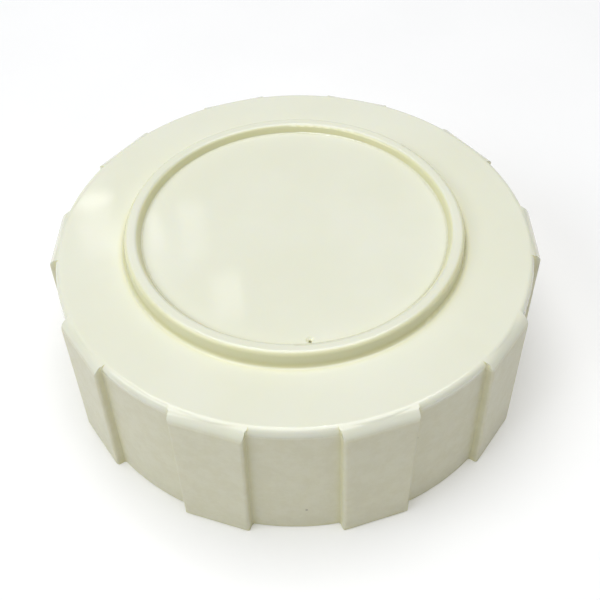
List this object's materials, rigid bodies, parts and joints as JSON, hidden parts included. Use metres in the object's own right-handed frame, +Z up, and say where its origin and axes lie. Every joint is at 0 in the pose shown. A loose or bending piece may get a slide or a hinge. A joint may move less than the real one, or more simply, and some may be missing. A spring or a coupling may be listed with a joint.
{
  "type": "deck fill cap",
  "caption": "Round screw-on deck fill cap with flat grip pads, a raised ring round a plain vented disc, a threaded liner, a two-way vent valve and a lanyard swivel.",
  "frame": {"origin": "centre of the rim that the cap stands on, on the cap's axis", "axes": "+Z up through the label disc; -Y to the front, where the vent pinhole is; +X to the right"},
  "size_m": [0.0754, 0.0746, 0.0264],
  "materials": {
    "ivory_plastic": "satin gloss moulding, cream white",
    "ivory_disc": "satin gloss moulding, cream white",
    "liner_plastic": "natural polypropylene, matt",
    "valve_plastic": "black acetal, fine matt",
    "poppet_plastic": "red acetal, satin",
    "gasket_rubber": "black EPDM, matt",
    "seal_rubber": "brown fluoro-rubber, matt",
    "stainless": "A4 stainless steel, tumbled",
    "screen_mesh": "perforated stainless sheet",
    "filter_felt": "needled polyester felt"
  },
  "bodies": {
    "cap": {"cap_shell": "ivory_plastic", "top_disc": "ivory_disc", "vent_filter": "filter_felt", "insect_screen": "screen_mesh", "threaded_liner": "liner_plastic", "liner_screws": "stainless", "sealing_gasket": "gasket_rubber", "valve_body": "valve_plastic", "body_seal": "seal_rubber", "port_plate": "valve_plastic", "pressure_spring": "stainless", "retaining_clip": "stainless"},
    "pressure_poppet": {"pressure_valve": "poppet_plastic", "pressure_seal": "seal_rubber", "vacuum_spring": "stainless"},
    "vacuum_poppet": {"vacuum_valve": "poppet_plastic", "vacuum_seal": "seal_rubber", "stem_retainer": "valve_plastic"},
    "swivel": {"lanyard_swivel": "valve_plastic"}
  },
  "joints": [
    {"name": "pressure_valve_lift", "type": "slide", "parent": "cap", "child": "pressure_poppet", "axis": [0, 0, 1], "range_m": [0, 0.0015], "stiffness_N_per_m": 300, "springref_m": -0.003, "deforming": ["pressure_spring"]},
    {"name": "vacuum_valve_drop", "type": "slide", "parent": "pressure_poppet", "child": "vacuum_poppet", "axis": [0, 0, -1], "range_m": [0, 0.0008], "stiffness_N_per_m": 40, "springref_m": -0.0015, "deforming": ["vacuum_spring"]},
    {"name": "lanyard_swivel_turn", "type": "hinge", "parent": "cap", "child": "swivel", "pos_m": [0, 0, 0.01195], "axis": [0, 0, 1], "continuous": true}
  ]
}
